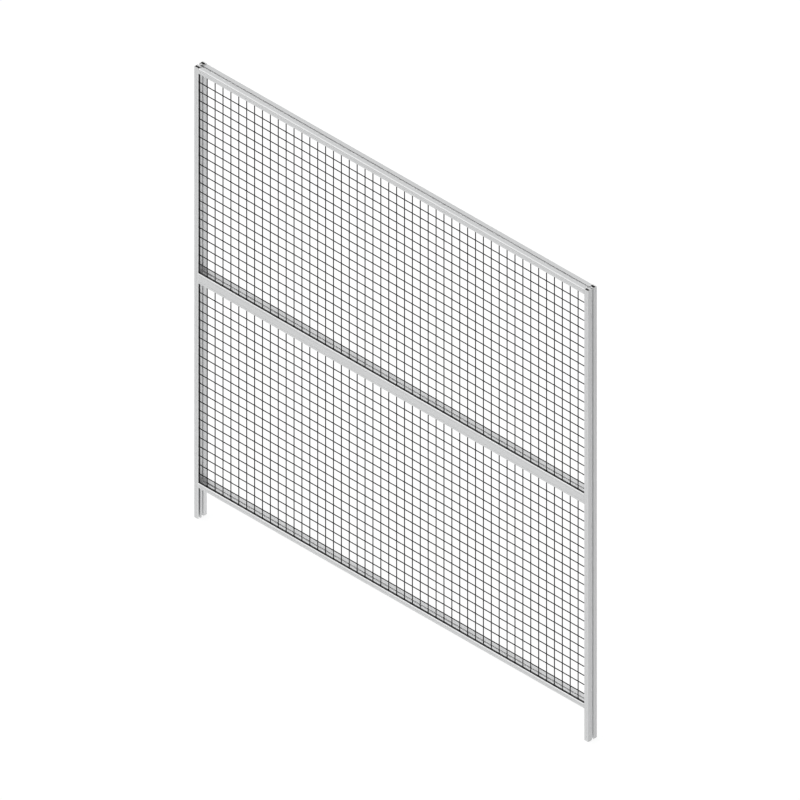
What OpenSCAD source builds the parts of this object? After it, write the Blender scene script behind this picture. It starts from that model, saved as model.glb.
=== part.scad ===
// Machine guard fence panel: two slotted extrusion posts on open legs, three rails,
// and two fields of welded wire mesh held in rubber edging.
// Millimetres. +X runs along the panel, -Y is its front, +Z is up.
// The origin is the middle of the left post's section, on the cut face of its foot.

/* [Panel] */
// Overall width over both posts
panel_w = 1998; // [998:40:2398]
// Overall height of the posts
panel_h = 1986; // [1346:20:2226]
// Height of the open legs below the bottom rail
leg_h = 138; // [83:5:253]
// How far the posts stand above the top rail
post_rise = 2; // [0:0.5:6]

/* [Profiles] */
// Depth of every profile from front to back
depth = 45; // [44:1:50]
// Width of the posts, and height of the top and bottom rails
face = 21; // [20:0.5:25]
// Height of the middle rail
middle_h = 45; // [43:1:60]
// Thickness of the front flange and of the chamber walls
wall = 1.8; // [1.5:0.1:2.3]
// Thickness of the wall at the back
rear_wall = 5; // [2:0.5:7]
// Radius of the outside corners
corner_r = 1.5; // [0.5:0.1:1.8]
// Diameter of the middle rail's core hole
core_d = 8.5; // [6.8:0.1:10.2]

/* [Guide line] */
// Width of the fine line along the front faces
guide_w = 2; // [0.8:0.1:3]
// Depth of the fine line
guide_d = 0.8; // [0.2:0.1:1]

/* [T-slots] */
// Width of the slot's mouth
mouth_w = 8; // [6:0.5:10]
// Thickness of the two lips
lip = 2; // [1.5:0.1:2.6]
// Width of the cavity behind the lips
cavity_w = 13; // [12:0.5:17]
// Depth from the face to the cavity's floor
slot_depth = 8.5; // [6.5:0.1:9]
// Height of the sloped shoulders at the cavity's floor
shoulder = 3; // [1:0.1:4]

/* [Panel groove] */
// Width of the groove that takes the edging
groove_w = 9; // [8.4:0.1:10.5]
// Depth of the groove from the profile's inner face
groove_depth = 18.5; // [16:0.5:19]

/* [Wire mesh] */
// Distance between neighbouring wires
mesh_pitch = 40; // [30:1:60]
// Diameter of the wires
wire_d = 3.5; // [2.5:0.1:4]
// How far crossing wires are pressed into each other at the weld
weld = 0.4; // [0.2:0.1:0.6]
// How far the wires reach into the grooves
bite = 12; // [6:0.5:13]

/* [Edging] */
// Thickness of the edging's base at the groove's floor
edging_base = 3; // [1:0.5:5]
// Play between the mesh and each flank of the edging
edging_play = 0.2; // [0.1:0.05:0.3]

/* [Corner plates] */
// Thickness of the smoked plate in each field's lower left cell
plate_t = 2; // [1:0.5:3]

/* [Hidden] */

$fn = 32;
wire_sides = 8;
// Extra length that carries a cut past the faces it opens
past = 1;

// Places of the pieces
post_pitch = panel_w - face;
field_x = [face / 2, post_pitch - face / 2];
field_w = field_x[1] - field_x[0];
field_h = (panel_h - post_rise - leg_h - 2 * face - middle_h) / 2;
lower_z = leg_h + face;
middle_z = lower_z + field_h;
upper_z = middle_z + middle_h;
top_z = upper_z + field_h;
groove_y = -depth / 2 + wall + groove_w / 2;

// Layers of the mesh: level wires in front, upright wires behind
layer_step = wire_d - weld;
mesh_t = wire_d + layer_step;
level_y = groove_y - layer_step / 2;
upright_y = groove_y + layer_step / 2;
columns = ceil(field_w / mesh_pitch) - 1;
rows = ceil(field_h / mesh_pitch) - 1;
column_x = field_x[0] + (field_w - (columns - 1) * mesh_pitch) / 2;
row_z = (field_h - (rows - 1) * mesh_pitch) / 2;

alu = [0.82, 0.83, 0.84];
black = [0.1, 0.1, 0.11];
wire_grey = [0.25, 0.26, 0.27];
smoke = [0.15, 0.15, 0.16, 0.5];

// ---- Profile sections, drawn with the field side at +X and the front at -Y ----

// A rectangle about the origin with round corners
module rounded(w, d) {
    square([w, d - 2 * corner_r], center = true);
    square([w - 2 * corner_r, d], center = true);
    for (sx = [-1, 1], sy = [-1, 1])
        translate([sx * (w / 2 - corner_r), sy * (d / 2 - corner_r)])
            circle(r = corner_r);
}

// T-slot whose mouth opens at x = 0 and whose floor is at x = -slot_depth
module t_slot() {
    translate([-lip - past, -mouth_w / 2])
        square([lip + 2 * past, mouth_w]);
    polygon([
        [-lip, -cavity_w / 2],
        [-slot_depth + shoulder, -cavity_w / 2],
        [-slot_depth, -cavity_w / 2 + shoulder],
        [-slot_depth, cavity_w / 2 - shoulder],
        [-slot_depth + shoulder, cavity_w / 2],
        [-lip, cavity_w / 2]
    ]);
}

// Groove for the edging, open at x = 0, just behind the front flange
module panel_groove() {
    translate([-groove_depth, groove_y - groove_w / 2])
        square([groove_depth + past, groove_w]);
}

// Fine V line in the front face, at the groove's middle depth from the field side
module guide_line() {
    polygon([
        [-guide_w / 2, -depth / 2 - guide_d / 2],
        [guide_w / 2, -depth / 2 - guide_d / 2],
        [0, -depth / 2 + guide_d]
    ]);
}

// Hollow chamber between two heights, in the lobe behind the T-slots
module rear_chamber(x0, x1) {
    y0 = cavity_w / 2 + wall;
    y1 = depth / 2 - rear_wall;
    translate([x0, y0])
        square([x1 - x0, y1 - y0]);
}

// Section of the posts and of the top and bottom rails
module slim_section() {
    difference() {
        rounded(face, depth);
        for (side = [0, 1])
            mirror([side, 0])
                translate([face / 2, 0])
                    t_slot();
        translate([face / 2, 0])
            panel_groove();
        rear_chamber(-face / 2 + wall, face / 2 - wall);
        guide_line();
    }
}

// Section of the middle rail, with a groove and a T-slot on each field side
module middle_section() {
    half = middle_h / 2;
    core_wall = core_d / 2 + wall;
    difference() {
        rounded(middle_h, depth);
        circle(d = core_d);
        for (side = [0, 1])
            mirror([side, 0]) {
                translate([half, 0]) {
                    t_slot();
                    panel_groove();
                }
                translate([core_wall, -mouth_w / 2])
                    square([half - slot_depth - wall - core_wall, mouth_w]);
                rear_chamber(wall / 2, half - wall);
                translate([half - face / 2, 0])
                    guide_line();
            }
        translate([-half + groove_depth + wall, groove_y - groove_w / 2])
            square([middle_h - 2 * groove_depth - 2 * wall, groove_w]);
    }
}

// Section of the edging: a U that fills the groove and opens to the field
module edging_section() {
    difference() {
        translate([-groove_depth, groove_y - groove_w / 2])
            square([groove_depth, groove_w]);
        translate([-groove_depth + edging_base, groove_y - mesh_t / 2 - edging_play])
            square([groove_depth, mesh_t + 2 * edging_play]);
    }
}

// ---- Lengths of profile set in place ----

// Stands a section up at x, mirrored where its field side faces -X
module upright(x, z, length, field_left = false) {
    translate([x, 0, z])
        mirror([field_left ? 1 : 0, 0, 0])
            linear_extrude(length)
                children();
}

// Lays a section along +X from the left end of the fields, its +X side turned up
module level(z, field_down = false) {
    translate([field_x[0], 0, z])
        mirror([0, 0, field_down ? 1 : 0])
            rotate([0, -90, 0])
                mirror([0, 0, 1])
                    linear_extrude(field_w)
                        children();
}

module left_post() {
    color(alu)
        upright(0, 0, panel_h)
            slim_section();
}

module right_post() {
    color(alu)
        upright(post_pitch, 0, panel_h, true)
            slim_section();
}

module top_rail() {
    color(alu)
        level(top_z + face / 2, true)
            slim_section();
}

module middle_rail() {
    color(alu)
        level(middle_z + middle_h / 2)
            middle_section();
}

module bottom_rail() {
    color(alu)
        level(leg_h + face / 2)
            slim_section();
}

// ---- Edging round each field ----

module left_edging(z) {
    color(black)
        upright(field_x[0], z, field_h)
            edging_section();
}

module right_edging(z) {
    color(black)
        upright(field_x[1], z, field_h, true)
            edging_section();
}

module bottom_edging(z) {
    color(black)
        level(z)
            edging_section();
}

module top_edging(z) {
    color(black)
        level(z + field_h, true)
            edging_section();
}

// ---- Wire mesh ----

// One straight wire along +Z, with its flats facing along the axes
module wire(length) {
    rotate(180 / wire_sides)
        cylinder(h = length, d = wire_d / cos(180 / wire_sides), $fn = wire_sides);
}

// One third of a field's mesh: part 0 is the left one, part 2 the right one
module mesh(z, part) {
    first = round(columns * part / 3);
    last = round(columns * (part + 1) / 3) - 1;
    x0 = part == 0 ? field_x[0] - bite : column_x + (first - 0.5) * mesh_pitch;
    x1 = part == 2 ? field_x[1] + bite : column_x + (last + 0.5) * mesh_pitch;
    color(wire_grey) {
        for (i = [first : last])
            translate([column_x + i * mesh_pitch, upright_y, z - bite])
                wire(field_h + 2 * bite);
        for (j = [0 : rows - 1])
            translate([x0, level_y, z + row_z + j * mesh_pitch])
                rotate([0, 90, 0])
                    wire(x1 - x0);
    }
}

// Smoked plate that fills the lower left cell, between the edging and the first wires
module corner_plate(z) {
    x1 = column_x - wire_d / 2;
    z1 = z + row_z - wire_d / 2;
    color(smoke)
        translate([field_x[0] - bite, groove_y - plate_t / 2, z - bite])
            cube([x1 - field_x[0] + bite, plate_t, z1 - z + bite]);
}

left_post();
right_post();
top_rail();
middle_rail();
bottom_rail();
left_edging(upper_z);  // upper_left_edging
right_edging(upper_z);  // upper_right_edging
top_edging(upper_z);  // upper_top_edging
bottom_edging(upper_z);  // upper_bottom_edging
left_edging(lower_z);  // lower_left_edging
right_edging(lower_z);  // lower_right_edging
top_edging(lower_z);  // lower_top_edging
bottom_edging(lower_z);  // lower_bottom_edging
mesh(upper_z, 0);  // upper_left_mesh
mesh(upper_z, 1);  // upper_centre_mesh
mesh(upper_z, 2);  // upper_right_mesh
mesh(lower_z, 0);  // lower_left_mesh
mesh(lower_z, 1);  // lower_centre_mesh
mesh(lower_z, 2);  // lower_right_mesh
corner_plate(upper_z);  // upper_corner_plate
corner_plate(lower_z);  // lower_corner_plate
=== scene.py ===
# %% [markdown]
# # A machine guard fence panel
#
# Plants put panels like this one round a robot or a press, so that nobody walks into it. Two slotted
# aluminium posts stand on the floor, three slotted rails join them, and each of the two openings
# between the rails is closed by a welded wire mesh that sits in a strip of black rubber.
#
# The metal lengths, the rubber and the wire are already modelled at their real size in another
# program. This lesson loads them as a fixed frame and gives them what a solid model lacks: round
# drawn wires pressed into each other at every weld, rubber lips that close on each wire, drawn metal
# with saw-cut ends, powder coat, a floor, light and a camera.

import math

import bpy
import numpy as np
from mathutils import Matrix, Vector


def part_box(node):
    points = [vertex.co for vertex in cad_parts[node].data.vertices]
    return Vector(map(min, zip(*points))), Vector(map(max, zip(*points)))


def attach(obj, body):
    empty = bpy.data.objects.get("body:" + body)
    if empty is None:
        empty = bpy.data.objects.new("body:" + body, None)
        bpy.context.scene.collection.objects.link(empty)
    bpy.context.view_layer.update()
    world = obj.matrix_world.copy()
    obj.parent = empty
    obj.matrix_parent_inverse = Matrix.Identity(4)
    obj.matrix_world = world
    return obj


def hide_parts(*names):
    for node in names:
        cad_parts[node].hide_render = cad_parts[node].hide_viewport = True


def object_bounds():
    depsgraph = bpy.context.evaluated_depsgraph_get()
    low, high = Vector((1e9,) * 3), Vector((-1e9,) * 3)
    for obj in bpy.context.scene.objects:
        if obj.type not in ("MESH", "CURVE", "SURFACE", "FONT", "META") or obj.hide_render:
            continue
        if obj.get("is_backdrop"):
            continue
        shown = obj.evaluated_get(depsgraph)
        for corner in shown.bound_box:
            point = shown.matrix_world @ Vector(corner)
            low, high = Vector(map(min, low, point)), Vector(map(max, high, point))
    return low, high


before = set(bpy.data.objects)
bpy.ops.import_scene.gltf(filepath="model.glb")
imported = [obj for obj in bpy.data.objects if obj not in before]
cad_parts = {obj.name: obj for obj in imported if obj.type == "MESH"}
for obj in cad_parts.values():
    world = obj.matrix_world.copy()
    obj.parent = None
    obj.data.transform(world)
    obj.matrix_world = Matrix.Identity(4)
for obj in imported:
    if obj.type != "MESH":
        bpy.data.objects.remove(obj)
solid_low, solid_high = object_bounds()
MM = 0.001  # one millimetre in Blender's metres
print("nodes in the frame:", len(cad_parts))
print("panel, m:", [round(high - low, 4) for low, high in zip(solid_low, solid_high)])

# %% [markdown]
# ## A profile carried along a path
#
# A wire, a weld bead and a rubber strip are all the same kind of surface: a closed outline that
# travels along a line while its shape changes a little. One parameter runs along the line and the
# other runs round the outline, so the surface is a grid of points.
#
# Blender could take such a grid point by point, but a fence has thousands of rings. The points and
# the faces are worked out as whole numpy arrays instead and handed over in one go with
# `foreach_set`. The enclosed volume tells whether the faces look outwards: it comes out negative
# when they look inwards, and then every face is turned round.


# %% Turn arrays into a Blender mesh
SHARP = math.radians(50)  # an edge that bends more than this is shaded as a crease


def add_mesh(name, points, faces):
    """A smooth mesh object from (n, 3) points in metres and a list of (m, k) arrays of corners."""
    mesh = bpy.data.meshes.new(name)
    mesh.vertices.add(len(points))
    mesh.vertices.foreach_set("co", points.astype(np.float32).ravel())
    corners = np.concatenate([group.ravel() for group in faces]).astype(np.int32)
    counts = np.concatenate([np.full(len(group), group.shape[1]) for group in faces])
    mesh.loops.add(len(corners))
    mesh.loops.foreach_set("vertex_index", corners)
    mesh.polygons.add(len(counts))
    starts = np.concatenate([[0], np.cumsum(counts)[:-1]]).astype(np.int32)
    mesh.polygons.foreach_set("loop_start", starts)
    mesh.polygons.foreach_set("use_smooth", np.ones(len(counts), bool))
    mesh.update(calc_edges=True)
    mesh.set_sharp_from_angle(angle=SHARP)
    piece = bpy.data.objects.new(name, mesh)
    bpy.context.scene.collection.objects.link(piece)
    return piece


def enclosed_volume(points, faces):
    """Volume inside closed faces: a sixth of the sum of a . (b x c) over each face's triangle fan."""
    total = 0.0
    for group in faces:
        for corner in range(1, group.shape[1] - 1):
            a, b, c = (points[group[:, k]] for k in (0, corner, corner + 1))
            total += float((a * np.cross(b, c)).sum()) / 6
    return total


# %% Carry outlines along their paths
def carried_profile(name, rings):
    """A mesh of closed outlines carried along paths.

    rings has the shape (pieces, rings, corners, 3). Every corner is joined to the next corner of its
    ring and to the same two corners of the next ring, and the first and the last ring of each piece
    are closed by one flat face.
    """
    pieces, along, around, _ = rings.shape
    here = np.arange(around)
    following = np.roll(here, -1)
    start = (np.arange(pieces) * along * around)[:, None]
    ring = (start + np.arange(along - 1) * around)[:, :, None]
    sides = np.stack(
        [ring + here, ring + following, ring + around + following, ring + around + here], axis=-1
    ).reshape(-1, 4)
    ends = np.concatenate([start + here[::-1], start + (along - 1) * around + here])
    points = rings.reshape(-1, 3).astype(float)
    faces = [sides, ends]
    volume = enclosed_volume(points, faces)
    if volume < 0:
        faces = [group[:, ::-1] for group in faces]
    piece = add_mesh(name, points, faces)
    print(f"{name}: {pieces} runs, {len(sides) + len(ends)} faces, {abs(volume) * 1e6:.0f} cm3")
    return piece


print("helpers ready: add_mesh, enclosed_volume, carried_profile")

# %% [markdown]
# ## Where the wires run
#
# The mesh is a stock sheet: 3.5 mm wires, 40 mm from centre to centre both ways, in two layers. The
# level wires lie in front, the upright ones behind, and the welder has pressed the layers a little
# into each other. Each field takes as many wires as fit, centred between its edges.
#
# The edges are read from the frame's own boxes, so the wires stay in place if the panel's size
# changes.

# %% Edges of the two fields and the lines of their wires
WIRE = 3.5 * MM  # diameter of the drawn wire
PITCH = 40 * MM  # from one wire's centre to the next
radius = WIRE / 2


def wire_lines(low, high):
    """Centre lines one pitch apart, as many as fit between two edges, centred between them."""
    count = math.ceil((high - low) / PITCH) - 1
    return (low + high) / 2 + (np.arange(count) - (count - 1) / 2) * PITCH


FIELDS = {}
for field in ("upper", "lower"):
    mesh_low, mesh_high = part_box(f"{field}_left_mesh")
    edges = {
        "left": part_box(f"{field}_left_edging")[1][0],
        "right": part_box(f"{field}_right_edging")[0][0],
        "bottom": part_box(f"{field}_bottom_edging")[1][2],
        "top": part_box(f"{field}_top_edging")[0][2],
    }
    FIELDS[field] = {
        **edges,
        "bite": edges["left"] - mesh_low[0],
        "level_y": mesh_low[1] + radius,
        "upright_y": mesh_high[1] - radius,
        "columns": wire_lines(edges["left"], edges["right"]),
        "rows": wire_lines(edges["bottom"], edges["top"]),
    }
    print(field, "field:", len(FIELDS[field]["columns"]), "by", len(FIELDS[field]["rows"]), "wires")

# %% [markdown]
# ## Wires pressed at their welds
#
# A resistance welder squeezes two crossed wires between copper electrodes while a current heats the
# contact. The wires soften there, so each one is a little flatter and wider at the weld and round
# again a few millimetres on.
#
# A plain cylinder would miss that. Here the round section is scaled by a bell curve centred on each
# weld, and the rings of points are placed only where the bell curve bends, which keeps a wire of
# 48 welds light.

# %% Round wires with flattened welds
RING_STEPS = np.array([-3.2, -1.5, 0.0, 1.5, 3.2]) * MM  # rings on both sides of each weld
BELL = 1.6 * MM  # half width of the flattened stretch
WIDER, FLATTER = 0.05, 0.08  # share by which a weld widens and flattens the wire
WIRE_SIDES = 12


def pressed_wires(name, starts, along, side, length, welds):
    """Round wires that start at the given points and run length metres in the direction along.

    A point is s along its wire and at the angle t round it: r cos t to the side and r sin t through
    the mesh. With g = exp(-(d / bell)^2) and d the way to the nearest weld, the side is scaled by
    1 + wider g and the depth by 1 - flatter g.
    """
    s = np.concatenate([[0.0], (welds[:, None] + RING_STEPS).ravel(), [length]])
    d = np.abs(s[:, None] - welds).min(axis=1)
    g = np.exp(-((d / BELL) ** 2))[:, None]
    t = np.arange(WIRE_SIDES) * 2 * math.pi / WIRE_SIDES
    across = radius * np.cos(t) * (1 + WIDER * g)
    depth = radius * np.sin(t) * (1 - FLATTER * g)
    through = np.array([0.0, 1.0, 0.0])
    section = s[:, None, None] * along + across[..., None] * side + depth[..., None] * through
    return carried_profile(name, starts[:, None, None, :] + section)


X_AXIS, Z_AXIS = np.array([1.0, 0.0, 0.0]), np.array([0.0, 0.0, 1.0])
wires = []
for field, at in FIELDS.items():
    columns, rows, bite = at["columns"], at["rows"], at["bite"]
    left, bottom = at["left"] - bite, at["bottom"] - bite
    starts = np.stack([np.full_like(rows, left), np.full_like(rows, at["level_y"]), rows], axis=1)
    length = at["right"] + bite - left
    wires.append(pressed_wires(f"{field}_level_wires", starts, X_AXIS, Z_AXIS, length, columns - left))
    starts = np.stack(
        [columns, np.full_like(columns, at["upright_y"]), np.full_like(columns, bottom)], axis=1
    )
    length = at["top"] + bite - bottom
    wires.append(pressed_wires(f"{field}_upright_wires", starts, Z_AXIS, X_AXIS, length, rows - bottom))

# %% [markdown]
# ## Weld beads
#
# The metal that the electrodes push out stays in the four corners of each crossing, as a small
# collar between the layers, and the powder coat rounds it off. It could be sculpted once and
# instanced, but a thousand copies of it are quicker as one array: four rings of eight corners, wider
# towards the corners of the crossing, and hidden inside the wires elsewhere.

# %% A bead at every crossing
BEAD_RADIUS, BEAD_HALF = 1.9 * MM, 1.1 * MM
BEAD_SIDES = 8
BEAD_TILTS = np.radians([-65, -25, 25, 65])  # one ring at each tilt from the contact plane
SWELL = 0.15  # how much further the bead reaches in the corners of a crossing


def weld_beads(name, columns, rows, contact_y):
    """A collar at every crossing of the columns and the rows.

    A point has a turn u round the through axis and a tilt v from the contact plane: its radius is
    R cos v (1 - swell cos 4u), largest at the four corners, and its depth is h sin v.
    """
    u = np.arange(BEAD_SIDES) * 2 * math.pi / BEAD_SIDES
    v = BEAD_TILTS[:, None]
    reach = BEAD_RADIUS * np.cos(v) * (1 - SWELL * np.cos(4 * u))
    bead = np.stack(
        [reach * np.cos(u), np.broadcast_to(BEAD_HALF * np.sin(v), reach.shape), reach * np.sin(u)],
        axis=-1,
    )
    x, z = (grid.ravel() for grid in np.meshgrid(columns, rows))
    centres = np.stack([x, np.full_like(x, contact_y), z], axis=1)
    return carried_profile(name, centres[:, None, None, :] + bead)


beads = [
    weld_beads(f"{field}_weld_beads", at["columns"], at["rows"], (at["level_y"] + at["upright_y"]) / 2)
    for field, at in FIELDS.items()
]

# %% [markdown]
# ## Rubber edging that closes on the wires
#
# The edging is an extruded rubber U. Its base fills the bottom of the groove, its walls lie on the
# groove's flanks and its two soft lips meet at the mouth, where they hold the mesh and keep it from
# rattling. Every wire that enters the groove pushes the lips apart, and between the wires they close
# again.
#
# A solid U with straight walls hides that, so the outline is carried along the groove with the lips'
# opening as a function of the way to the nearest wire. The outline is a table of steps: how far each
# corner is from its lip's edge to the flank, and how deep it lies.

# %% The lips' outline and opening
BASE = 3 * MM  # thickness of the edging's base
WALL_FROM = 0.78  # inner side of the walls, as a share of the groove's half width
LIP_FOOT = 5 * MM  # how deep the lips reach before the walls run straight
# share of the way from the lip's edge to the flank, depth below the mouth
LIP = np.array([
    [1.00, 1.00], [0.93, 0.35], [0.75, 0.10], [0.35, 0.15],
    [0.12, 0.60], [0.00, 1.30], [0.12, 2.00], [0.30, 2.80],
])
LIP_RINGS = np.array([-6.0, -3.6, -2.2, -1.1, 0.0, 1.1, 2.2, 3.6, 6.0]) * MM
SHUT = 0.25 * MM  # half opening of the lips between the wires
LIP_BELL = 2.4 * MM  # half width of the stretch that a wire pushes open
FLANK_PLAY = 0.02 * MM  # air between the rubber and the groove's flanks


def lip_opening(d):
    """Half opening: shut + (wire radius - shut) exp(-(d / bell)^2), with d the way to a wire."""
    return SHUT + (radius - SHUT) * np.exp(-((d / LIP_BELL) ** 2))


print("lip opening, mm:", [round(float(lip_opening(d * MM)) / MM, 2) for d in (0, 1, 2, 4, 8)])


# %% Edging strips
def moulded_edging(name, corner, along, into, length, lines, wire_y, low, high):
    """A rubber U from a corner of the groove's mouth, with lips that open where a wire passes.

    A point is s along the groove, at a height y across it and u into it. Each lip's corners lie at
    y = edge + share (flank - edge), where edge = wire_y -/+ opening(d) and d is the way from s to the
    nearest wire; the walls and the base below them are straight.
    """
    centre, half, deep = (low + high) / 2, (high - low) / 2 - FLANK_PLAY, corner[3]
    s = np.concatenate([[0.0], (lines[:, None] + LIP_RINGS).ravel(), [length]])
    gap = lip_opening(np.abs(s[:, None] - lines).min(axis=1))[:, None]
    halves = []
    for sign in (-1, 1):
        edge, flank = wire_y + sign * gap, centre + sign * half
        inner = np.full_like(gap, centre + sign * WALL_FROM * half)
        lip_y = edge + LIP[:, 0] * (flank - edge)
        halves.append(np.concatenate([np.full_like(gap, flank), lip_y, inner, inner], axis=1))
    y = np.concatenate([halves[0], halves[1][:, ::-1]], axis=1)
    half_u = np.concatenate([[deep], LIP[:, 1] * MM, [LIP_FOOT, deep - BASE]])
    u = np.concatenate([half_u, half_u[::-1]])
    across = np.array([0.0, 1.0, 0.0])
    rings = (
        np.array(corner[:3]) + s[:, None, None] * along + y[..., None] * across + u[:, None] * into
    )
    return carried_profile(name, rings[None])


edgings = []
for field, at in FIELDS.items():
    for side in ("left", "right", "bottom", "top"):
        node = f"{field}_{side}_edging"
        (x0, low, z0), (x1, high, z1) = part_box(node)
        upright = side in ("left", "right")
        mouth = at[side]
        sign = 1.0 if side in ("right", "top") else -1.0
        corner = (mouth, 0.0, z0, x1 - x0) if upright else (x0, 0.0, mouth, z1 - z0)
        along, into = (Z_AXIS, X_AXIS * sign) if upright else (X_AXIS, Z_AXIS * sign)
        lines = at["rows"] - z0 if upright else at["columns"] - x0
        wire_y = at["level_y"] if upright else at["upright_y"]
        length = z1 - z0 if upright else x1 - x0
        strip = moulded_edging(f"{node}_strip", corner, along, into, length, lines, wire_y, low, high)
        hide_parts(node)
        edgings.append(strip)

# %% [markdown]
# ## Which piece stands for which solid
#
# The new wires and strips take the place of the plain solids, which stay in the physics model, and
# the beads come on top. Nothing on this panel moves, so all pieces ride on the one body.

# %% Ride and replace
for wire in wires:
    field = wire.name.split("_")[0]
    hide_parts(f"{field}_left_mesh", f"{field}_centre_mesh", f"{field}_right_mesh")
for piece in wires + beads:
    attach(piece, "root")
for piece in edgings:
    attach(piece, "root")
print("pieces added:", len(wires) + len(beads) + len(edgings))

# %% [markdown]
# ## Small tools for shader nodes
#
# A material is a little network. Three helpers keep the cells that build one short: one adds a node
# with its settings, one does arithmetic, and one places a shared group with its own values.
#
# Every pattern reads Object coordinates. They are metres on the panel, so a grain of 1 mm stays 1 mm
# on a long post and on a short edge, and nothing slides when the camera moves.


# %% Node helpers
def add_node(tree, kind, **settings):
    """A new node of a kind in a tree; settings are its plain properties."""
    node = tree.nodes.new(kind)
    for key, value in settings.items():
        setattr(node, key, value)
    return node


def feed(tree, socket, value):
    """Links an output socket to an input, or sets the input to a number or a colour."""
    if isinstance(value, bpy.types.NodeSocket):
        tree.links.new(value, socket)
    else:
        socket.default_value = value


def maths(tree, operation, first, second=0.0):
    """A Math node fed by two sockets or numbers; gives its output."""
    node = add_node(tree, "ShaderNodeMath", operation=operation)
    feed(tree, node.inputs[0], first)
    feed(tree, node.inputs[1], second)
    return node.outputs[0]


def mixed(tree, blend, factor, first, second):
    """A colour Mix node with a blend type; gives its colour output."""
    node = add_node(tree, "ShaderNodeMix", data_type="RGBA", blend_type=blend)
    for index, value in ((0, factor), (6, first), (7, second)):
        feed(tree, node.inputs[index], value)
    return node.outputs[2]


def grey(value):
    """A neutral colour of one brightness."""
    return (value, value, value, 1.0)


def place_group(tree, group, place, **values):
    """A node that places a shared group; values are its inputs, with _ for each space."""
    node = add_node(tree, "ShaderNodeGroup", node_tree=group)
    feed(tree, node.inputs["Place"], place)
    for label, value in values.items():
        feed(tree, node.inputs[label.replace("_", " ")], value)
    return node.outputs


def new_group(name, inputs, outputs):
    """An empty shader group with named sockets: inputs are (name, type, value), outputs (name, type)."""
    group = bpy.data.node_groups.new(name, "ShaderNodeTree")
    for label, kind, value in inputs:
        socket = group.interface.new_socket(label, in_out="INPUT", socket_type=f"NodeSocket{kind}")
        socket.default_value = value
    for label, kind in outputs:
        group.interface.new_socket(label, in_out="OUTPUT", socket_type=f"NodeSocket{kind}")
    given, result = group.nodes.new("NodeGroupInput"), group.nodes.new("NodeGroupOutput")
    return group, given.outputs, result.inputs


print("node helpers ready")

# %% [markdown]
# ## Grain, one effect for every finish
#
# Drawn metal, powder coat, rubber and smoked plastic look different, but up close each of them is a
# fine unevenness of tone and height. Only its size and its stretch differ: long thin lines on a
# profile that came through a steel die, orange peel on powder coat, a dull bloom on rubber.
#
# One group gives them all. It counts grains per metre along each axis, so a small count makes a
# long grain, and it puts out a tint round 1 and a height.

# %% The grain group
grain, given, result = new_group(
    "grain",
    [
        ("Place", "Vector", (0.0, 0.0, 0.0)),
        ("Grains per metre", "Vector", (100.0, 100.0, 100.0)),
        ("Shade", "Float", 0.1),
    ],
    [("Tint", "Float"), ("Height", "Float")],
)
counted = add_node(grain, "ShaderNodeVectorMath", operation="MULTIPLY")
feed(grain, counted.inputs[0], given["Place"])
feed(grain, counted.inputs[1], given["Grains per metre"])
clouds = add_node(grain, "ShaderNodeTexNoise", noise_dimensions="3D")
feed(grain, clouds.inputs["Vector"], counted.outputs[0])
clouds.inputs["Scale"].default_value = 1.0
clouds.inputs["Detail"].default_value = 3.0
swing = maths(grain, "SUBTRACT", clouds.outputs["Fac"], 0.5)
feed(grain, result["Tint"], maths(grain, "ADD", maths(grain, "MULTIPLY", swing, given["Shade"]), 1.0))
feed(grain, result["Height"], clouds.outputs["Fac"])
print("grain group:", len(grain.nodes), "nodes")

# %% [markdown]
# ## Saw-cut ends
#
# The bars are cut to length after they are anodised, so their ends are bare, brighter metal with the
# fine arcs of the saw blade. The ends could be separate pieces, but the solid already has them: they
# are the faces whose normal points along the bar.
#
# The group compares the normal with the bar's direction to find them. The arcs are circles round a
# blade centre far to one side, so the sine of the distance from that centre draws them.

# %% The saw cut group
END_FACING = 0.9  # cosine between normal and bar above which a face is a cut end

saw_cut, given, result = new_group(
    "saw_cut",
    [
        ("Place", "Vector", (0.0, 0.0, 0.0)),
        ("Bar", "Vector", (0.0, 0.0, 1.0)),
        ("Blade", "Vector", (0.0, 0.2, 0.0)),
        ("Arcs per metre", "Float", 1200.0),
    ],
    [("Mask", "Float"), ("Height", "Float")],
)
facing = add_node(saw_cut, "ShaderNodeVectorMath", operation="DOT_PRODUCT")
feed(saw_cut, facing.inputs[0], add_node(saw_cut, "ShaderNodeNewGeometry").outputs["Normal"])
feed(saw_cut, facing.inputs[1], given["Bar"])
along_bar = maths(saw_cut, "ABSOLUTE", facing.outputs["Value"])
end_face = maths(saw_cut, "GREATER_THAN", along_bar, END_FACING)
flat_place = add_node(saw_cut, "ShaderNodeVectorMath", operation="CROSS_PRODUCT")
feed(saw_cut, flat_place.inputs[0], given["Place"])
feed(saw_cut, flat_place.inputs[1], given["Bar"])
away = add_node(saw_cut, "ShaderNodeVectorMath", operation="DISTANCE")
feed(saw_cut, away.inputs[0], flat_place.outputs[0])
feed(saw_cut, away.inputs[1], given["Blade"])
turns = maths(saw_cut, "MULTIPLY", away.outputs["Value"], given["Arcs per metre"])
feed(saw_cut, result["Mask"], end_face)
feed(saw_cut, result["Height"], maths(saw_cut, "SINE", maths(saw_cut, "MULTIPLY", turns, 2 * math.pi)))
print("saw_cut group:", len(saw_cut.nodes), "nodes")
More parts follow.
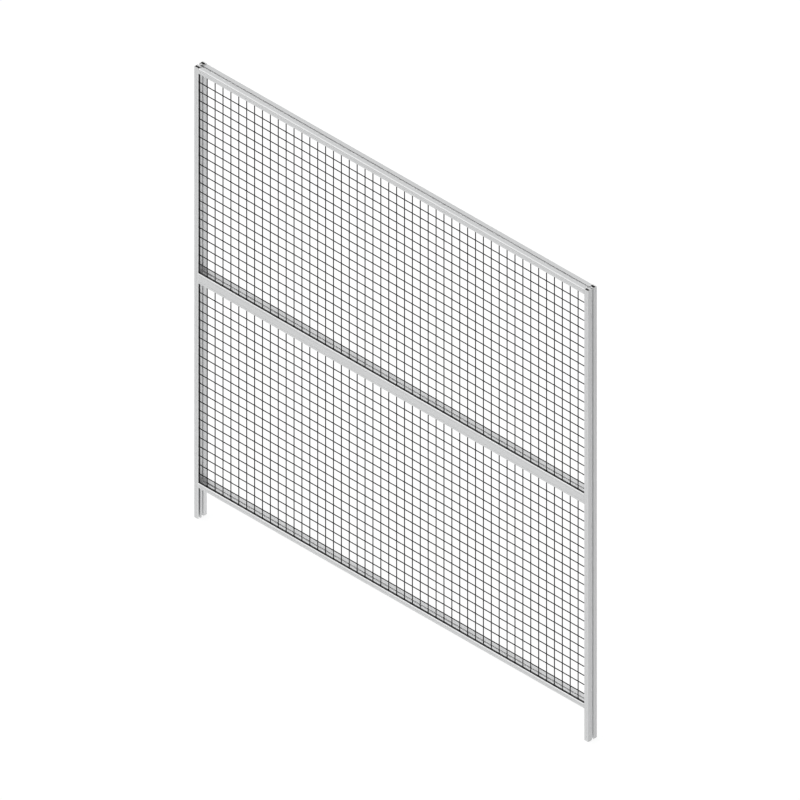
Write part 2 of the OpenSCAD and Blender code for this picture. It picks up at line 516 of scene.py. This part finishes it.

# %% [markdown]
# ## Worn edges with a painted highlight
#
# Gloves, tools and bolts rub a bar at its round outside corners and along the mouths of its slots,
# and there the oxide turns smoother and brighter. The lighter grey given there is partly that wear and
# partly a painted highlight of the light that these edges catch. Baking the curvature would find such
# places, but all bars of this panel have the same depth and the same slot in its middle, so two simple
# tests do: a slanting normal close to the front or back face is a corner, and a strip beside the
# slot's mouth is an edge that bolts slide along.

# %% The edge wear and painted highlight group
# The corners and the strip beside a slot are worn, and are also painted lighter as a highlight.
SLOT_HALF = 4 * MM  # half the width of a slot's mouth
WORN_AND_HIGHLIT_STRIP = 1.2 * MM  # width of the rubbed strip beside it
CORNER_FROM = solid_high[1] - 1.6 * MM  # the round corners start this far from the middle plane
SQUARE = 0.99  # largest part of a normal above which its face is square to an axis
SLANT_GAIN = 7.0  # how fast the rub rises as the normal leans
MOUTH_PLAY = 0.01 * MM  # lets the strip take in the mouth's own edge

edge_wear, given, result = new_group(
    "edge_wear", [("Place", "Vector", (0.0, 0.0, 0.0))], [("Mask", "Float")]
)
place_parts = add_node(edge_wear, "ShaderNodeSeparateXYZ")
feed(edge_wear, place_parts.inputs[0], given["Place"])
off_middle = maths(edge_wear, "ABSOLUTE", place_parts.outputs[1])
straight = add_node(edge_wear, "ShaderNodeVectorMath", operation="ABSOLUTE")
feed(edge_wear, straight.inputs[0], add_node(edge_wear, "ShaderNodeNewGeometry").outputs["Normal"])
lean = add_node(edge_wear, "ShaderNodeSeparateXYZ")
feed(edge_wear, lean.inputs[0], straight.outputs[0])
squarest = maths(edge_wear, "MAXIMUM", lean.outputs[0], lean.outputs[1])
squarest = maths(edge_wear, "MAXIMUM", squarest, lean.outputs[2])
slant = maths(edge_wear, "MULTIPLY", maths(edge_wear, "SUBTRACT", SQUARE, squarest), SLANT_GAIN)
slant = maths(edge_wear, "MINIMUM", maths(edge_wear, "MAXIMUM", slant, 0.0), 1.0)
corner = maths(edge_wear, "MULTIPLY", slant, maths(edge_wear, "GREATER_THAN", off_middle, CORNER_FROM))
beside = maths(edge_wear, "SUBTRACT", off_middle, SLOT_HALF - MOUTH_PLAY)
strip = maths(edge_wear, "SUBTRACT", 1.0, maths(edge_wear, "DIVIDE", beside, WORN_AND_HIGHLIT_STRIP))
strip = maths(edge_wear, "MULTIPLY", strip, maths(edge_wear, "GREATER_THAN", beside, 0.0))
feed(edge_wear, result["Mask"], maths(edge_wear, "MAXIMUM", corner, strip))
print("edge_wear group:", len(edge_wear.nodes), "nodes")

# %% [markdown]
# ## A material and its bump
#
# Every finish below starts alike: an empty node material, Object coordinates to draw on, and at the
# end a bump that tilts the normal by a height. Two helpers do that, so a finish's own cell holds only
# what is its own.


# %% Start a material and raise its surface
def new_material(name):
    """A node material; gives it with its tree, its shader's inputs and Object coordinates."""
    material = bpy.data.materials.new(name)
    material.use_nodes = True
    tree = material.node_tree
    place = add_node(tree, "ShaderNodeTexCoord").outputs["Object"]
    return material, tree, tree.nodes["Principled BSDF"].inputs, place


def raise_surface(tree, shader, height, strength, depth):
    """Bumps the shader's normal by a height socket, depth metres high at full strength."""
    bump = add_node(tree, "ShaderNodeBump")
    bump.inputs["Strength"].default_value = strength
    bump.inputs["Distance"].default_value = depth
    feed(tree, bump.inputs["Height"], height)
    feed(tree, shader["Normal"], bump.outputs["Normal"])


print("material helpers ready")

# %% [markdown]
# ## Soft bands of painted light and shade
#
# A bar isn't one even grey here. The rails' scribed lines and the floors of their slots are darkened
# as painted shade, the top rail gets a painted highlight behind its front edge with painted shade just
# below it, and the rounded front edges next to the mesh get a painted highlight.
#
# Other bands only balance this scene's light, as painted light and shade. The posts' slots, the open
# grooves in the legs and the faces next to the mesh see little of the sky here and would come out too
# dark, so a band of painted light lifts them. The hollows behind the posts' slots and at the post tops
# would come out too pale, so a band of painted shade darkens them.
#
# Either way the tone changes inside a known stretch of the bar. A band is a small bump in each
# direction that bounds it, multiplied together, so one function draws them all from a list.


# %% Draw a list of bands
def near(tree, value, middle, reach, steep):
    """A bump round a middle: 1 - |(value - middle) / reach|^steep, and 0 past the reach."""
    way = maths(tree, "DIVIDE", maths(tree, "SUBTRACT", value, middle), reach)
    fall = maths(tree, "POWER", maths(tree, "ABSOLUTE", way), steep)
    return maths(tree, "MAXIMUM", maths(tree, "SUBTRACT", 1.0, fall), 0.0)


def banded(tree, place, bands):
    """The product of 1 + change x bump x bump ... over a list of bands.

    A band is (change, steepness, spots), and each spot is (axis, middle, reach) and gives one bump.
    """
    parts = add_node(tree, "ShaderNodeSeparateXYZ")
    feed(tree, parts.inputs[0], place)
    tone = 1.0
    for change, steep, spots in bands:
        here = change
        for axis, middle, reach in spots:
            here = maths(tree, "MULTIPLY", here, near(tree, parts.outputs[axis], middle, reach, steep))
        tone = maths(tree, "MULTIPLY", tone, maths(tree, "ADD", here, 1.0))
    return tone


print("band helpers ready")

# %% [markdown]
# ## Anodised posts and rails
#
# Anodising leaves aluminium a soft silver grey with a matt sheen. Below it the die lines still show,
# and large sheets of tone drift along the bar. The metal is part metallic and part diffuse, because
# the oxide scatters light before the metal reflects it.
#
# Where the oxide is gone, at a sawn end or a worn edge, the metal is more metallic and smoother, and a
# worn edge is also painted a lighter grey, partly wear and partly a painted highlight. The bands of
# painted light and shade leave the sawn ends alone.

# %% The anodised finish
ANODISED = (0.671, 0.675, 0.678, 1.0)
SAWN = (0.70, 0.70, 0.70, 1.0)
# Lighter grey of worn edges: partly wear, partly a painted highlight.
WORN_AND_HIGHLIT_METAL = (0.88, 0.88, 0.88, 1.0)
OXIDE_METALLIC, BARE_METALLIC = 0.6, 0.35  # metallic share under oxide, and what bare metal adds
OXIDE_ROUGHNESS, BARE_SMOOTHER = 0.45, 0.12  # roughness of oxide, and what bare metal takes off
ARC_TONE = 0.06  # how much the saw's arcs swing the tone
DIE_LINES = (4.0, 900.0)  # grains per metre along the bar and across it
DRIFT = (0.8, 6.0)  # the same for the sheets of tone


def anodised(name, bar, bands, wear_and_highlight_share):
    """Satin anodised aluminium for a bar, with sawn ends, soft bands of painted light and shade, and
    edges worn and painted lighter as a highlight by a share.
    """
    material, tree, shader, place = new_material(name)
    die_lines = tuple(DIE_LINES[0] if part else DIE_LINES[1] for part in bar)
    drift = tuple(DRIFT[0] if part else DRIFT[1] for part in bar)
    drawn = place_group(tree, grain, place, Grains_per_metre=die_lines, Shade=0.10)
    sheets = place_group(tree, grain, place, Grains_per_metre=drift, Shade=0.06)
    cut = place_group(tree, saw_cut, place, Bar=bar)
    # Worn edges, painted lighter: partly wear, partly a painted highlight.
    wear_and_highlight = maths(tree, "MULTIPLY", place_group(tree, edge_wear, place)["Mask"], wear_and_highlight_share)
    tint = maths(tree, "MULTIPLY", drawn["Tint"], sheets["Tint"])
    skin = maths(tree, "SUBTRACT", 1.0, cut["Mask"])
    told = maths(tree, "MULTIPLY", maths(tree, "SUBTRACT", banded(tree, place, bands), 1.0), skin)
    tint = maths(tree, "MULTIPLY", tint, maths(tree, "ADD", told, 1.0))
    arcs = maths(tree, "MULTIPLY", cut["Height"], cut["Mask"])
    swing = maths(tree, "ADD", maths(tree, "MULTIPLY", arcs, ARC_TONE), 1.0)
    tint = maths(tree, "MULTIPLY", tint, swing)
    metal = mixed(tree, "MIX", cut["Mask"], ANODISED, SAWN)
    # The worn edges take the lighter grey, which is partly a painted highlight.
    metal = mixed(tree, "MIX", wear_and_highlight, metal, WORN_AND_HIGHLIT_METAL)
    feed(tree, shader["Base Color"], mixed(tree, "MULTIPLY", 1.0, metal, tint))
    bare = maths(tree, "MAXIMUM", cut["Mask"], wear_and_highlight)
    extra = maths(tree, "MULTIPLY", bare, BARE_METALLIC)
    feed(tree, shader["Metallic"], maths(tree, "ADD", OXIDE_METALLIC, extra))
    matt = maths(tree, "SUBTRACT", OXIDE_ROUGHNESS, maths(tree, "MULTIPLY", bare, BARE_SMOOTHER))
    feed(tree, shader["Roughness"], maths(tree, "MULTIPLY", matt, sheets["Tint"]))
    raise_surface(tree, shader, maths(tree, "ADD", drawn["Height"], arcs), strength=0.2, depth=0.02 * MM)
    return material


print("anodised finish ready, base grey:", ANODISED[:3])

# %% [markdown]
# ## Where the bands lie
#
# A spot is an axis, a middle and a reach, all in metres and read from the solids' boxes where they
# can be. Spots that several bands share get a name first. A positive change brightens the metal as
# painted light and a negative one darkens it as painted shade.

# %% Shared spots
ACROSS, DEPTH, UP = 0, 1, 2  # the axes
SOFT, CRISP = 2.0, 8.0  # steepness of a band's sides

bars = {name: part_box(name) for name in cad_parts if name.endswith(("_post", "_rail"))}
front, back_face = solid_low[1], solid_high[1]
half_face = (bars["left_post"][1][0] - bars["left_post"][0][0]) / 2
chamber = (DEPTH, back_face - 9.6 * MM, 5.4 * MM)  # the hollow behind the slots
groove = (DEPTH, front + 6.3 * MM, 4.7 * MM)  # the panel groove behind the front flange
slots = (DEPTH, 0.0, 7 * MM)
slot_floors = (DEPTH, 0.0, 4.2 * MM)  # what shows through a slot's mouth
front_edge = (DEPTH, front, 1.0 * MM)
post_top = (UP, solid_high[2], 30 * MM)
open_leg = (UP, solid_low[2], bars["bottom_rail"][0][2] - solid_low[2])
print("post face, mm:", round(2 * half_face / MM, 2), " open leg, mm:", round(open_leg[2] / MM, 1))

# %% Bands on the posts
post_bands = []
for post in ("left_post", "right_post"):
    inside = (ACROSS, bars[post][0][0] + half_face, half_face - 0.2 * MM)
    # Painted shade in the hollow behind the slots, and more of it at the post tops.
    post_bands.append((-0.92, CRISP, [chamber, inside]))
    post_bands.append((-0.85, CRISP, [groove, inside, post_top]))
    # Painted light in the open grooves of the legs and in the slots.
    post_bands.append((0.40, CRISP, [groove, inside, open_leg]))
    post_bands.append((0.25, CRISP, [slots, inside]))
for edge in (FIELDS["upper"]["left"], FIELDS["upper"]["right"]):
    # A painted highlight on the front edge beside the mesh, and painted light on the face next to the
    # mesh.
    post_bands.append((0.14, SOFT, [front_edge, (ACROSS, edge, 2.4 * MM)]))
    post_bands.append((0.18, CRISP, [(ACROSS, edge, 1.0 * MM)]))  # the face next to the mesh
print("bands on the posts:", len(post_bands))

# %% Bands on the rails
# Painted shade on the floors of the slots.
rail_bands = [(-0.25, CRISP, [slot_floors])]
for rail in ("bottom_rail", "middle_rail", "top_rail"):
    bottom, top = bars[rail][0][2], bars[rail][1][2]
    # a slim rail has one scribed line, where both of these meet, and the tall one has two
    for line in sorted({round(bottom + half_face, 5), round(top - half_face, 5)}):
        # Painted shade in the scribed line.
        rail_bands.append((-0.35, SOFT, [(DEPTH, front, 1.2 * MM), (UP, line, 1.4 * MM)]))
    if rail == "top_rail":
        # A painted highlight on the top face behind the front edge, and painted shade just under the
        # edge.
        bright = [(DEPTH, front + 3.4 * MM, 2.4 * MM), (UP, top, 1.0 * MM)]
        rail_bands.append((0.32, SOFT, bright))
        rail_bands.append((-0.20, SOFT, [front_edge, (UP, top - 2.0 * MM, 2.0 * MM)]))
    else:
        # A painted highlight under the front edge, and painted light on the face next to the mesh.
        rail_bands.append((0.16, SOFT, [front_edge, (UP, top - 2.4 * MM, 2.2 * MM)]))
        rail_bands.append((0.10, CRISP, [(UP, top, 1.0 * MM)]))  # the face next to the mesh
print("bands on the rails:", len(rail_bands))

# %% Metal for posts and rails
# Share of the edge wear and its painted highlight on posts and on rails.
POST_WEAR_AND_HIGHLIGHT, RAIL_WEAR_AND_HIGHLIGHT = 0.15, 0.5  # share of the full edge wear
post_metal = anodised("anodised_post", (0.0, 0.0, 1.0), post_bands, POST_WEAR_AND_HIGHLIGHT)
rail_metal = anodised("anodised_rail", (1.0, 0.0, 0.0), rail_bands, RAIL_WEAR_AND_HIGHLIGHT)
for metal in (post_metal, rail_metal):
    print(metal.name, "nodes:", len(metal.node_tree.nodes))

# %% [markdown]
# ## Powder-coated wire
#
# The mesh is coated as a whole sheet after welding: a matt, almost black powder that melts into a
# skin of about a tenth of a millimetre. It never comes out flat; its surface has the fine dimples
# that painters call orange peel, and the tone is a little uneven from wire to wire.

# %% The powder coat
COAT, COAT_ROUGHNESS = (0.010, 0.0105, 0.0115, 1.0), 0.5
wire_coat, tree, shader, place = new_material("wire_powder_coat")
peel = place_group(tree, grain, place, Grains_per_metre=(1100.0, 1100.0, 1100.0), Shade=0.25)
uneven = place_group(tree, grain, place, Grains_per_metre=(14.0, 14.0, 14.0), Shade=0.4)
tone = maths(tree, "MULTIPLY", peel["Tint"], uneven["Tint"])
feed(tree, shader["Base Color"], mixed(tree, "MULTIPLY", 1.0, COAT, tone))
feed(tree, shader["Roughness"], maths(tree, "MULTIPLY", COAT_ROUGHNESS, uneven["Tint"]))
shader["Specular IOR Level"].default_value = 0.3
raise_surface(tree, shader, peel["Height"], strength=0.5, depth=0.06 * MM)
print("wire coat ready")

# %% [markdown]
# ## Rubber edging
#
# The edging is carbon black rubber. It is matt, has a very fine speckle from the extruder, and takes
# on a pale dusty bloom as it ages, in soft patches along the strip.

# %% The rubber
RUBBER, RUBBER_ROUGHNESS = (0.07, 0.07, 0.071, 1.0), 0.65
rubber, tree, shader, place = new_material("edging_rubber")
speckle = place_group(tree, grain, place, Grains_per_metre=(2600.0, 2600.0, 2600.0), Shade=0.5)
bloom = place_group(tree, grain, place, Grains_per_metre=(16.0, 16.0, 16.0), Shade=0.6)
tone = maths(tree, "MULTIPLY", speckle["Tint"], bloom["Tint"])
feed(tree, shader["Base Color"], mixed(tree, "MULTIPLY", 1.0, RUBBER, tone))
feed(tree, shader["Roughness"], maths(tree, "MULTIPLY", RUBBER_ROUGHNESS, bloom["Tint"]))
raise_surface(tree, shader, speckle["Height"], strength=0.4, depth=0.03 * MM)
print("rubber ready")

# %% [markdown]
# ## Smoked corner plates
#
# The lower left cell of each field is filled by a small smoked plastic plate. One sees the floor
# through it, darker. Real refraction would need a path through both faces; a thin plate hardly
# bends light, so a partly transparent surface gives the same look and exports cleanly. Fine
# scratches from wiping and a faint haze keep it from looking like a hole.

# %% The smoked plate
SMOKE, SMOKE_ROUGHNESS = (0.28, 0.28, 0.285, 1.0), 0.14
COVER = 0.28  # share of the light behind that the plate stops
smoked, tree, shader, place = new_material("smoked_plate")
haze = place_group(tree, grain, place, Grains_per_metre=(90.0, 90.0, 90.0), Shade=0.12)
wiped = place_group(tree, grain, place, Grains_per_metre=(2500.0, 10.0, 120.0), Shade=0.2)
feed(tree, shader["Base Color"], mixed(tree, "MULTIPLY", 1.0, SMOKE, wiped["Tint"]))
feed(tree, shader["Alpha"], maths(tree, "MULTIPLY", COVER, haze["Tint"]))
feed(tree, shader["Roughness"], maths(tree, "MULTIPLY", SMOKE_ROUGHNESS, haze["Tint"]))
raise_surface(tree, shader, wiped["Height"], strength=0.1, depth=0.01 * MM)
print("smoked plate ready")

# %% [markdown]
# ## Hand out the finishes
#
# The posts, rails and plates keep their solids and only change material. The hidden solids of the
# mesh and the edging get theirs too, so that nothing is left with a plain grey.

# %% Materials on nodes and pieces
FINISH = {"post": post_metal, "rail": rail_metal, "edging": rubber, "mesh": wire_coat, "plate": smoked}
for name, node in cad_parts.items():
    node.data.materials.clear()
    node.data.materials.append(FINISH[name.split("_")[-1]])
for piece in wires + beads:
    piece.data.materials.append(wire_coat)
for piece in edgings:
    piece.data.materials.append(rubber)
print("finished:", len(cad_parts), "nodes and", len(wires + beads + edgings), "pieces")

# %% [markdown]
# ## Floor
#
# The panel stands on a large pale floor that glows a little, as a lit white studio sweep does. It
# stays even from edge to edge, and the thin shadows of the wires and posts all but vanish.

# %% Floor
FLOOR_GREY, FLOOR_GLOW = 0.12, 0.89
floor_half = 12.0
corners = np.array([[-1, -1, 0], [1, -1, 0], [1, 1, 0], [-1, 1, 0]]) * floor_half
floor = add_mesh("floor", corners + [1.0, 0.0, -0.5 * MM], [np.array([[0, 1, 2, 3]])])
floor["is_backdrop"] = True
floor_paint, tree, shader, place = new_material("floor_paint")
shade = place_group(tree, grain, place, Grains_per_metre=(1.5, 1.5, 1.5), Shade=0.01)
feed(tree, shader["Base Color"], mixed(tree, "MULTIPLY", 1.0, grey(FLOOR_GREY), shade["Tint"]))
feed(tree, shader["Emission Color"], mixed(tree, "MULTIPLY", 1.0, grey(1.0), shade["Tint"]))
shader["Emission Strength"].default_value = FLOOR_GLOW
shader["Roughness"].default_value = 0.9
floor.data.materials.append(floor_paint)
print("floor:", 2 * floor_half, "m square")

# %% [markdown]
# ## Light
#
# A hard lamp would shine into the slots and light their inner walls, which are dark on a real bar
# because they see so little of the room. So the light comes from the whole sky, as in a white tent:
# the more a surface is tucked away, the darker it gets.
#
# The tent isn't even. It is much dimmer towards the right end of the panel, so that the sides turn a
# step darker than the front, a touch brighter overhead, and it has one soft bright lobe at the upper
# front left, which the rounded edges mirror as a thin highlight.
#
# In a small render a wire is thinner than the finest detail, so its black is averaged with the
# floor beside it and the mesh looks washed out. A view gamma a little below 1 darkens the middle
# tones again and leaves black and white as they are. It is a setting of the view, so an exported
# model doesn't carry it.


# %% A sky with a bright side
def towards(tree, direction, way):
    """How far a direction socket points along a way: the dot product, never below 0."""
    along = add_node(tree, "ShaderNodeVectorMath", operation="DOT_PRODUCT")
    feed(tree, along.inputs[0], direction)
    feed(tree, along.inputs[1], way)
    return maths(tree, "MAXIMUM", along.outputs["Value"], 0.0)


world = bpy.data.worlds.new("studio")
world.use_nodes = True
sky = world.node_tree
direction = add_node(sky, "ShaderNodeTexCoord").outputs["Generated"]
EVEN, OVERHEAD, RIGHT_DIM, LOBE = 1.04, 0.04, 1.0, 0.85
LOBE_FROM, LOBE_POWER = (-0.575, -0.577, 0.58), 10.0  # where it stands and how narrow it is
CONTRAST = 0.80  # view gamma; below 1 it darkens the middle tones
glow = maths(sky, "MULTIPLY", towards(sky, direction, (0, 0, 1)), OVERHEAD)
dim = maths(sky, "MULTIPLY", towards(sky, direction, (1, 0, 0)), RIGHT_DIM)
lobe = maths(sky, "POWER", towards(sky, direction, LOBE_FROM), LOBE_POWER)
light = maths(sky, "ADD", maths(sky, "SUBTRACT", glow, dim), EVEN)
light = maths(sky, "ADD", light, maths(sky, "MULTIPLY", lobe, LOBE))
feed(sky, sky.nodes["Background"].inputs["Strength"], light)
sky.nodes["Background"].inputs["Color"].default_value = grey(1.0)
bpy.context.scene.world = world
view = bpy.context.scene.view_settings
view.view_transform = "Standard"
view.gamma = CONTRAST
print("sky:", len(sky.nodes), "nodes")

# %% [markdown]
# ## Camera
#
# The panel is seen from the front right and above, at the angle of an isometric drawing, where equal
# lengths along the panel, its depth and its height look nearly the same. An orthographic lens keeps
# the two fields and all their cells the same size across the view.

# %% Orthographic camera
VIEW_WIDTH = 2.880
LOOK_AT = Vector((1.0111, 0.0, 1.0112))
DISTANCE = 6.0  # any distance that clears the panel gives the same view

azimuth, elevation = math.radians(44.75), math.radians(35.23)
back = Vector(
    (
        math.sin(azimuth) * math.cos(elevation),
        -math.cos(azimuth) * math.cos(elevation),
        math.sin(elevation),
    )
)
lens = bpy.data.cameras.new("camera")
lens.type = "ORTHO"
lens.ortho_scale = VIEW_WIDTH
camera = bpy.data.objects.new("camera", lens)
camera.rotation_mode = "QUATERNION"
camera.rotation_quaternion = (-back).to_track_quat("-Z", "Y")
camera.location = LOOK_AT + back * DISTANCE
bpy.context.scene.collection.objects.link(camera)
bpy.context.scene.camera = camera
print("view width, m:", lens.ortho_scale)

# %% [markdown]
# ## Check the size and finish
#
# The new pieces may not grow the panel, so the box of the finished model is compared with the box of
# the solids that it started from.

# %% Sizes and the end
low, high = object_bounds()
print("grown by, mm:", [round((b - a) / MM, 3) for a, b in zip(solid_high, high)])
